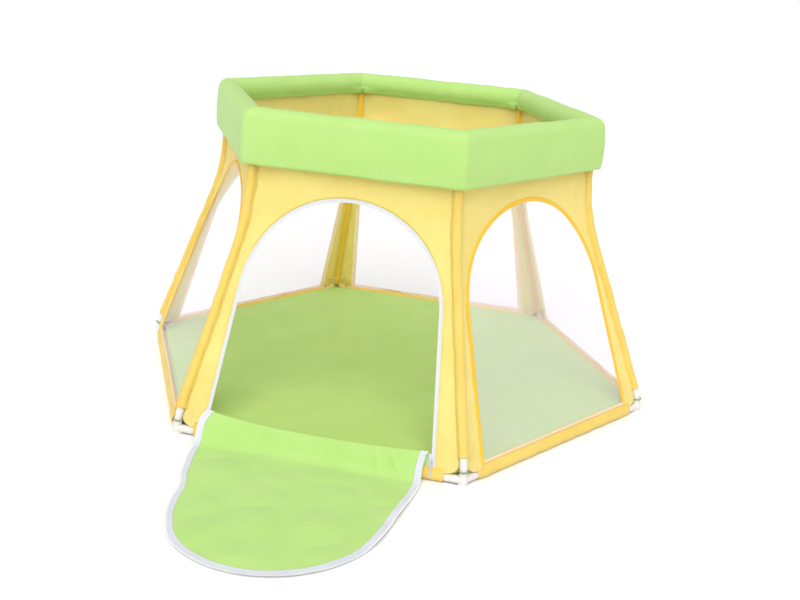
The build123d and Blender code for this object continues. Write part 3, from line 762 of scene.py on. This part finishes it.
def open_door(x, s):
    """Where the open door's cloth lies, x across it and s along it from the fold's axis."""
    share = np.clip(x / DOOR_HALF, -1, 1)
    up = raised(share)
    start_z = height_of(FOLD_UP + up)
    steep = DROP_ANGLE + (LEFT_DROP - DROP_ANGLE) * smooth(-share, 0.35, 1.0)
    out, high = fall(s - up, wall(start_z), start_z, steep)
    lying = smooth(s, 0.055, 0.130)
    width = np.maximum(arch_half(height_of(FOLD_UP + s), ZIP_EDGE), 0.02)
    across = np.clip(np.abs(x) / width, 0, 1)
    dome = 0.0065 * (1 - across**2.5) * smooth(s, 0.06, 0.20) * (1 - 0.5 * smooth(s, 0.30, DOOR_END))
    waves = np.abs(ripple(x, s, 601, 0.200)) * 0.0026 + ripple(x, s, 602, 0.075) * 0.0006
    lift = bump(s, 0.215, 0.075) * smooth(across, 0.70, 1.0) * 0.0040
    dome = dome * smooth(DOOR_END - s, 0.0, 0.05)
    high = high + lying * np.maximum(dome + waves * smooth(DOOR_END - s, -0.010, 0.04) + lift, 0)
    near = smooth(s - up, 0.002, 0.012) * (1 - smooth(s, 0.060, 0.150))
    creases = sum(depth * bump(x, place + lean * s, wide + s * 0.05) for place, lean, wide, depth in CREASES)
    out = out + near * creases * 0.0028 * smooth(s - up, 0.004, 0.03)
    drift = SHEAR * np.maximum(s - 0.070, 0)
    belly = 0.018 - 0.020 * smooth(s, 0.09, 0.27)
    belly = belly - 0.012 * smooth(s, 0.20, 0.28) * (1 - smooth(s, 0.38, 0.46))
    belly = belly * smooth(-x, 0.05, 0.23) * smooth(s, 0.0, 0.045)
    pinch = bump(s, 0.035, 0.050) * smooth(x, 0.12, 0.235) * 0.010
    out = out + 0.0045 * smooth(s, 0.10, DOOR_END)
    return stack(x + drift - belly - pinch, -out, high)


def door_grid(start, end, rows):
    """The door's cloth between two lengths from the fold; start None is the fold line itself."""
    share = np.linspace(-1, 1, 161)[None, :]
    step = np.linspace(0, 1, rows)[:, None]
    first = raised(share * 0.98) if start is None else start
    s = first * (1 - step) + end * step
    x = share * arch_half(height_of(FOLD_UP + s), ZIP_EDGE + 0.003)
    return grid(open_door(x, s), x, s, 7)


def end_edges():
    """The door's left and right edges from the fold line to the split, as (across, along)."""
    for sign in (-1, 1):
        s = np.linspace(raised(sign), SPLIT, 12)
        yield sign * arch_half(height_of(FOLD_UP + s), ZIP_EDGE), s


def main_edge():
    """The door's edge past the split, from the left over the tip to the right."""
    x, z = arch_line(ZIP_EDGE, 0.040, 60, 160)
    s = up_cloth(z) - FOLD_UP
    half = arch_half(height_of(FOLD_UP + SPLIT), ZIP_EDGE)
    x, s = x[s >= SPLIT], s[s >= SPLIT]
    yield join([[-half], x, [half]]), join([[SPLIT], s, [SPLIT]])


def door_tape(edges):
    """Zip tape along edges of the door, as grids, and its teeth and stitches, as beads."""
    tapes, teeth, threads = [], [], []
    for x, s in edges:
        flat = stack(x, s, 0)
        tangent = unit(np.gradient(flat, axis=0))
        inward = stack(tangent[:, 1], -tangent[:, 0], 0)
        inward = inward * np.sign(((DOOR_MIDDLE - flat) * inward).sum(1, keepdims=True))
        rows = flat[:, None, :] + inward[:, None, :] * TAPE_IN[None, :, None]
        points = open_door(rows[..., 0], rows[..., 1])
        normal = unit(np.cross(np.gradient(points, axis=0), np.gradient(points, axis=1)))
        normal = normal * np.where(normal[..., 2:] < 0, -1, 1)
        cloth = points + normal * TAPE_LIFT[None, :, None]
        tapes.append(grid(cloth, along(flat)[:, None], TAPE_IN[None, :], 5))
        up = normal[:, 0]
        size = (0.0020, 0.00085, 0.0011)
        teeth.append(sewn(points[:, 0] + up * 0.0009, up, size, TOOTH_PITCH, teeth=True, upright=True))
        up = normal[:, TAPE_SEWN]
        line = points[:, TAPE_SEWN] + up * 0.0014
        threads.append(sewn(line, up, (0.0012, 0.0003, 0.0003), TAPE_PITCH, upright=True))
    return tapes, teeth + threads


def door_sill():
    """Green cloth from the front hem up to the fold line."""
    share = np.linspace(-1, 1, 121)[None, :]
    step = np.linspace(0, 1, 14)[:, None]
    z = SEAM_Z * (1 - step) + height_of(FOLD_UP + raised(share)) * step
    x = share * (arch_half(z, ZIP_EDGE) - 0.0015)
    out = ripple(x, z * 0.5, 640, 0.030) * 0.0004 * np.sin(step * pi)
    return grid(on_wall(x, z, out), x, up_cloth(z), 6)


def sill_tape():
    """The door's zip tape where it runs down both ends of the sill."""
    strips = []
    for sign in (-1, 1):
        z = np.linspace(SEAM_Z - 0.001, height_of(FOLD_UP + raised(sign)), 16)
        path = on_wall(sign * arch_half(z, ZIP_EDGE), z, 0.0008)
        inward = np.array([[-sign, 0.0, 0.0]])
        strips.append(sweep(path, inward, wall_out(z), tape_profile(0.0062, 0.0014, across=0.0030), 12))
    return strips


def doorway_zip():
    """The zip's half on the doorway: white tape, teeth and a line of stitches."""
    path, inward, out = arch_path(0)
    tape = sweep(path, inward, out, tape_profile(0.0072, 0.0015, 14, 0.0033, 0.0006), 4)
    line = path + inward * 0.0062 + out * 0.0006
    teeth = sewn(line, inward, (0.0020, 0.00085, 0.0012), TOOTH_PITCH, path, teeth=True)
    line = path - inward * 0.0035 + out * 0.0008
    return tape, teeth, sewn(line, inward, STITCH, TAPE_PITCH, path)


def door_cloth(name, part, thickness):
    """One part of the open door."""
    node = f"door_{name}"
    cloth = build(f"{node}_cloth", [part], "green", thickness, replaces=[node], body=None)
    cloth.modifiers["thickness"].use_rim = False  # an edge here would show as a line across the cloth
    return cloth


def door_zip(name, edges):
    """The zip tape and teeth of one part of the door."""
    node = f"door_zip_{name}"
    tape, teeth = door_tape(edges)
    tape = build(f"{node}_tape", tape, "zip_tape", 0.0008, replaces=[node], body=None)
    return [tape, build(f"{node}_teeth", teeth, "teeth", body=None)]


def build_doorway():
    """Doorway's zip, sill, and the door laid open on the floor in two parts, curved over the fold at the sill
    and where it meets the floor.
    """
    tape, teeth, stitches = doorway_zip()
    build("arch_zip_tape", [tape], "zip_tape", replaces=["arch_zip"])
    build("arch_zip_teeth", [teeth], "teeth")
    build("doorway_stitches", [stitches], "thread_yellow")
    part = door_sill()
    sill = build("door_sill_cloth", [part], "green", 0.0009, replaces=["door_sill"])
    build("door_sill_tapes", sill_tape(), "zip_tape")

    lower = door_grid(None, SPLIT + 0.0015, 26)
    main = door_grid(SPLIT, DOOR_END - 0.0035, 170)
    lower_cloth, main_cloth = door_cloth("lower", lower, 0.0008), door_cloth("main", main, 0.0009)
    lower_zip, main_zip = door_zip("lower", end_edges()), door_zip("main", main_edge())
    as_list(lower_zip)
    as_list(main_zip)
    for piece in [lower_cloth, *lower_zip]:
        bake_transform(piece)
    for piece in [main_cloth, *main_zip]:
        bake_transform(piece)


# ---- top
PAD_R = 0.0229  # rounded top of the padded cover
BAND_DOWN = 0.0925  # cover's lower edge below the top rail's axis
BAND_OUT = 0.0252
BAND_BELLY = 0.0022
EDGE_R = 0.0051  # rounded lower edge of the band
SKIRT_OUT = (-0.0030, -0.0125)  # cover's inner edge, low and high, out from the rail's axis
SKIRT_DOWN = 0.0290
SKIRT_PUSH = 0.0120  # how far the inner edge passes inside the posts
CORNER_COLS = 11
SIDE_COLS = 44


def hexagon(apothem, radius, corner_cols, side_cols):
    """Points round a hexagon with rounded corners: x, y and the way each faces, along a new last axis."""
    columns = []
    centre = (apothem - radius) / COS_HALF
    half = (apothem - radius) * TAN_HALF
    for side in range(SIDES):
        corner = (side - 2) * 2 * HALF
        for phi in np.linspace(corner - HALF, corner + HALF, corner_cols):
            columns.append((centre * cos(corner) + radius * cos(phi),
                            centre * sin(corner) + radius * sin(phi), phi + 0 * apothem))
        for share in np.linspace(-1, 1, side_cols + 2)[1:-1]:
            columns.append((apothem * cos(phi) - share * half * sin(phi),
                            apothem * sin(phi) + share * half * cos(phi), phi + 0 * apothem))
    return [np.stack(values, -1) for values in zip(*columns)]


def cover_section():
    """The padded cover's section as (out, up) from the rail's axis: skirt, roll, band, hem and back."""
    skirt = np.stack([np.linspace(*SKIRT_OUT, 8), np.linspace(-SKIRT_DOWN, -0.0222, 8)], -1)[:-1]
    roll = np.linspace(radians(238), radians(12), 44)
    top = PAD_R * circle(roll)
    down = np.linspace(0, 1, 32)[1:, None]
    high = top[-1, 1] * (1 - down) + (EDGE_R - BAND_DOWN) * down
    belly = BAND_BELLY * np.sin(down * pi) ** 0.8
    face = join([top[-1, 0] * (1 - down) + BAND_OUT * down + belly, high], 1)
    edge = np.linspace(0, -pi, 13)[1:]
    hem = face[-1] + EDGE_R * (circle(edge) - (1, 0))
    back = np.linspace(0, 1, 14)[1:, None]
    inner_face = hem[-1] * (1 - back) + np.array([[0.0135, -0.0300]]) * back
    return join([skirt, top, face, hem, inner_face])


def build_top():
    """The green padded cover over the top rails."""
    section = cover_section()
    out, high = section.T
    corner_r = np.clip(0.013 + 0.30 * out, 0.003, 0.022)
    x, y, facing = hexagon(TOP_APOTHEM + out, corner_r, CORNER_COLS, SIDE_COLS)
    points = stack(x, y, RAIL_HIGH.z + high[:, None])
    length = along(section)[:, None]
    angle = np.arctan2(y, x)
    from_corner = np.mod(angle, 2 * HALF)
    from_corner = np.minimum(from_corner, 2 * HALF - from_corner) * TOP_APOTHEM
    normal = unit(np.cross(np.gradient(points, axis=1), np.gradient(points, axis=0)))
    inside = smooth(-out, -0.010, 0.018)[:, None]
    c, s = np.cos(angle) * 0.45, np.sin(angle) * 0.45
    broad = ripple(c, s + length, 701, 0.160) * 0.0004
    fine = ripple(c + length * 0.3, s, 702, 0.034) * 0.00028
    tucks = np.sin(from_corner * 2 * pi / 0.017 + 0.6) * np.exp(-from_corner / 0.020) * 0.0017 * inside
    seam = -bump(from_corner, 0, 0.0030) * (0.0007 + 0.0012 * inside)
    points = points + normal * (broad + fine * (1 + inside) + tucks + seam)[..., None]
    skirt = (smooth(-high, 0.008, 0.024) * (out < 0))[:, None]
    push = SKIRT_PUSH * bump(from_corner, 0, 0.024) * skirt
    points = points - stack(np.cos(facing), np.sin(facing), 0) * push[..., None]
    points = join([points, points[:, :1]], 1)
    around = np.unwrap(angle, axis=1) * TOP_APOTHEM
    lap = np.sign(around[:, -1:] - around[:, :1]) * 2 * pi * TOP_APOTHEM
    part = grid(points, join([around, around[:, :1] + lap], 1), length, 8)
    piece = build("top_cover_padded", [part], "green", 0.0012, -1.0,
                  ["top_cover", "rail_padding", "band_padding"])


# ---- mat
MAT_REACH = 0.5350  # middle of the mat to its swollen side, where it meets the bottom hems
MAT_CORNER_R = 0.020
MAT_BULGE = 0.0040  # how far its side swells


def build_mat():
    """The padded floor mat with its piped edge."""
    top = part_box("mat_cover")[1].z
    apothem = MAT_REACH - MAT_BULGE
    outline = stack(*hexagon(apothem, MAT_CORNER_R, 15, 45)[:2])
    outline = join([outline, outline[:1]])
    rim_x, rim_y = outline.T
    length = along(outline)[None, :]
    margin = 1 - 0.10 * (1 - np.linspace(0, 1, 26)[1:]) ** 1.4
    inward = join([np.linspace(0.0012, 0.90, 46), margin])
    x, y = rim_x * inward[:, None], rim_y * inward[:, None]
    edge = (1 - inward)[:, None] * apothem
    drop = 0.0050 * np.exp(-edge / 0.006)
    quilt = ripple(x, y, 801, 0.300) * 0.0008 + ripple(x, y, 802, 0.060) * 0.00035
    near_edge = np.exp(-edge / 0.020) * (1 - np.exp(-edge / 0.006))
    puckers = ripple(length, 0.0, 803, 0.026) * 0.0012 * near_edge
    slack = ripple(length, edge, 804, 0.110) * 0.0012 * bump(edge, 0.05, 0.05)
    z = top - 0.0016 - drop + (quilt + puckers + slack) * smooth(edge, 0.0, 0.01)
    top_part = stack(x, y, np.minimum(z, top + 0.001))
    seam = ripple(length[0], 0.0, 805, 0.09) * 0.0005
    straight = 1 - bump(np.mod(np.arctan2(rim_y, rim_x) + HALF, 2 * HALF), HALF, 0.09)
    heights = np.array([0.78, 0.70, 0.60, 0.45, 0.30, 0.15, 0.04])[:, None]  # rows down the mat's side
    swell = 1 + MAT_BULGE * np.sin(np.clip(heights / 0.9, 0, 1) ** 1.5 * pi) * straight / apothem
    sides = stack(rim_x * swell, rim_y * swell, top * heights + seam)
    under = np.array([0.97, 0.5, 0.0012])[:, None]
    under = stack(rim_x * under, rim_y * under, 0.0006)
    points = join([top_part, sides, under])
    down = join([np.zeros(len(inward)), top * (1 - heights[:, 0]), [top] * 3])
    part = grid(points, points[..., 0], points[..., 1] + down[:, None], 9)
    mat = build("mat_padded", [part], "mat", replaces=["mat_cover", "mat_foam"])
    rim = stack(rim_x * 1.0008, rim_y * 1.0008, top - 0.0065)
    tangent = unit(np.roll(rim[:-1], -1, 0) - np.roll(rim[:-1], 1, 0))
    tangent = join([tangent, tangent[:1]])
    cord = 0.0015 * circle(np.linspace(0, 2 * pi, 11))
    piping = sweep(rim, stack(tangent[:, 1], -tangent[:, 0], 0), UP, cord, 9)
    build("mat_piping", [piping], "mat")


TIE_LOOP_R = 0.0109


def build_ties():
    """Elastic loops that hold the mat's corners to the feet, on cloth tabs."""
    tie_low, tie_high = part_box("mat_ties")
    height = (tie_low.z + tie_high.z) / 2
    centre = tie_high.x - TIE_LOOP_R - 0.0018
    turn = np.linspace(0, 2 * pi, 49)
    out = stack(np.cos(turn), np.sin(turn), 0)
    path = TIE_LOOP_R * out + stack(centre, 0, height + 0.0004 * np.sin(3 * turn))
    tab = stack(centre - TIE_LOOP_R + np.linspace(-0.012, 0.001, 12), 0, height)
    loops, tabs = [], []
    for corner in range(SIDES):
        path_here, out_here, tab_here = (turned(line, corner - 1) for line in (path, out, tab))
        loops.append(sweep(path_here, UP, out_here, tape_profile(0.0030, 0.0018, 12), corner + 40))
        side = turned(np.array([[0.0, 1.0, 0.0]]), corner - 1)
        tabs.append(sweep(tab_here, side, UP, tape_profile(0.0140, 0.0022), corner + 50))
    build("mat_ties_elastic", tabs, "elastic", replaces=["mat_ties"])
    build("mat_tie_loops", loops, "elastic")


# ---- hard parts
def paint_frame():
    """Finishes for the CAD nodes that stay."""
    finish = {"zip_slider": "zip_metal", "zip_pull": "zip_metal"}
    for corner, side in zip(CORNER_NAMES, SIDE_NAMES):
        finish |= {f"foot_{corner}": "plastic", f"top_corner_{corner}": "plastic", f"post_{corner}": "tube",
                   f"bottom_rail_{side}": "tube", f"top_rail_{side}": "tube"}
    for node, key in finish.items():
        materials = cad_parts[node].data.materials
        materials.clear()
        materials.append(MATERIALS[key])


# ---- studio
FLOOR_REACH = 30.0
FLOOR_TONES = ((0.95, 0.95, 0.95, 1), (0.97, 0.97, 0.97, 1))
SURROUND = 0.62  # strength of the white surround as light
KEY = 2.05
KEY_FROM = (0.09, -0.64, 0.76)
KEY_SOFTNESS = radians(55.0)
AZIMUTH, ELEVATION, ROLL_ANGLE = radians(13.6), radians(18.02), radians(4.2)
DISTANCE = 2.737
AIM_RIGHT, AIM_UP = 0.0237, 0.1888
LENS, SENSOR = 49.28, 36.0


def build_floor():
    """A plain pale floor."""
    nodes = Nodes("studio_floor")
    nodes.set(Base_Color=nodes.mix(nodes.noise(nodes.place(), 3.0), *FLOOR_TONES), Roughness=0.9,
              Specular_IOR_Level=0.1)
    mesh = bpy.data.meshes.new("floor")
    corners = [(x * FLOOR_REACH, y * FLOOR_REACH, 0) for x, y in ((-1, -1), (1, -1), (1, 1), (-1, 1))]
    mesh.from_pydata(corners, [], [(0, 1, 2, 3)])
    mesh.materials.append(nodes.material)
    add_object("floor", mesh)


def build_light():
    """A white surround, and one large soft lamp, high in front."""
    world = bpy.data.worlds.new("studio")
    bpy.context.scene.world = world
    world.use_nodes = True
    tree = world.node_tree
    seen = tree.nodes.new("ShaderNodeLightPath").outputs["Is Camera Ray"]
    strength = tree.nodes.new("ShaderNodeMapRange")
    tree.links.new(seen, strength.inputs["Value"])
    strength.inputs["To Min"].default_value = SURROUND
    strength.inputs["To Max"].default_value = 1.0
    surround = tree.nodes["Background"].inputs
    tree.links.new(strength.outputs["Result"], surround["Strength"])
    surround["Color"].default_value = (1, 1, 1, 1)
    lamp = bpy.data.lights.new("key", "SUN")
    lamp.energy = KEY
    lamp.angle = KEY_SOFTNESS
    add_object("key", lamp).rotation_euler = Vector(KEY_FROM).to_track_quat("Z", "Y").to_euler()


def build_camera():
    """The viewpoint: in front, a little to the left and above, with a slight roll."""
    level = Vector((cos(AZIMUTH), sin(AZIMUTH), 0))
    back = Vector((sin(AZIMUTH) * cos(ELEVATION), -cos(AZIMUTH) * cos(ELEVATION),
                   sin(ELEVATION)))
    over = level.cross(-back).normalized()
    right = level * cos(ROLL_ANGLE) + over * sin(ROLL_ANGLE)
    up = over * cos(ROLL_ANGLE) - level * sin(ROLL_ANGLE)
    place = level * AIM_RIGHT + Vector((0, 0, AIM_UP)) + back * DISTANCE
    lens = bpy.data.cameras.new("camera")
    lens.lens = LENS
    lens.sensor_width = SENSOR
    camera = add_object("camera", lens)
    camera.matrix_world = Matrix.Translation(place) @ Matrix((right, up, back)).transposed().to_4x4()
    bpy.context.scene.camera = camera
    bpy.context.scene.view_settings.view_transform = "Standard"


build_floor()
paint_frame()
build_top()
build_walls()
build_doorway()
build_mat()
build_ties()
build_light()
build_camera()

bpy.context.view_layer.update()
